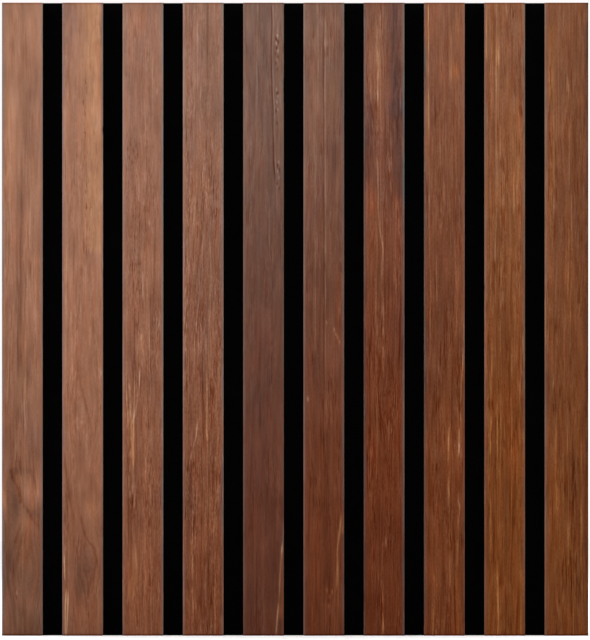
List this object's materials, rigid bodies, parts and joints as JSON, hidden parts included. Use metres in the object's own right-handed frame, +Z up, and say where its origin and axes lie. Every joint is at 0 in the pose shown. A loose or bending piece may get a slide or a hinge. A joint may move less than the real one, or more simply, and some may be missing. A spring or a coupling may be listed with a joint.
{
  "type": "acoustic slat wall panel",
  "caption": "Upright wall panel of veneered wood slats spaced on a black felt board. The felt takes up sound in the gaps, and its back is glued or screwed to a wall.",
  "frame": {"origin": "middle of the felt board's back, on the wall plane", "axes": "+Z up along the slats, +X across them to the right as seen from the room, +Y into the wall, so that the veneer faces -Y"},
  "size_m": [0.389, 0.021, 0.42],
  "materials": {
    "black_felt": "pressed polyester felt, matt black",
    "black_mdf": "black dyed fibreboard, sanded",
    "veneer_pale": "pale walnut veneer, matt oil",
    "veneer_umber": "grey-brown walnut veneer, matt oil",
    "veneer_russet": "red-brown walnut veneer, matt oil",
    "veneer_amber": "golden brown walnut veneer, matt oil",
    "staple_steel": "galvanised wire"
  },
  "bodies": {
    "root": {"felt_backing": "black_felt", "slat_core_01": "black_mdf", "slat_core_02": "black_mdf", "slat_core_03": "black_mdf", "slat_core_04": "black_mdf", "slat_core_05": "black_mdf", "slat_core_06": "black_mdf", "slat_core_07": "black_mdf", "slat_core_08": "black_mdf", "slat_core_09": "black_mdf", "slat_core_10": "black_mdf", "slat_veneer_01": "veneer_pale", "slat_veneer_02": "veneer_pale", "slat_veneer_03": "veneer_pale", "slat_veneer_04": "veneer_pale", "slat_veneer_05": "veneer_umber", "slat_veneer_06": "veneer_umber", "slat_veneer_07": "veneer_russet", "slat_veneer_08": "veneer_russet", "slat_veneer_09": "veneer_amber", "slat_veneer_10": "veneer_amber", "back_staples": "staple_steel"}
  },
  "joints": []
}
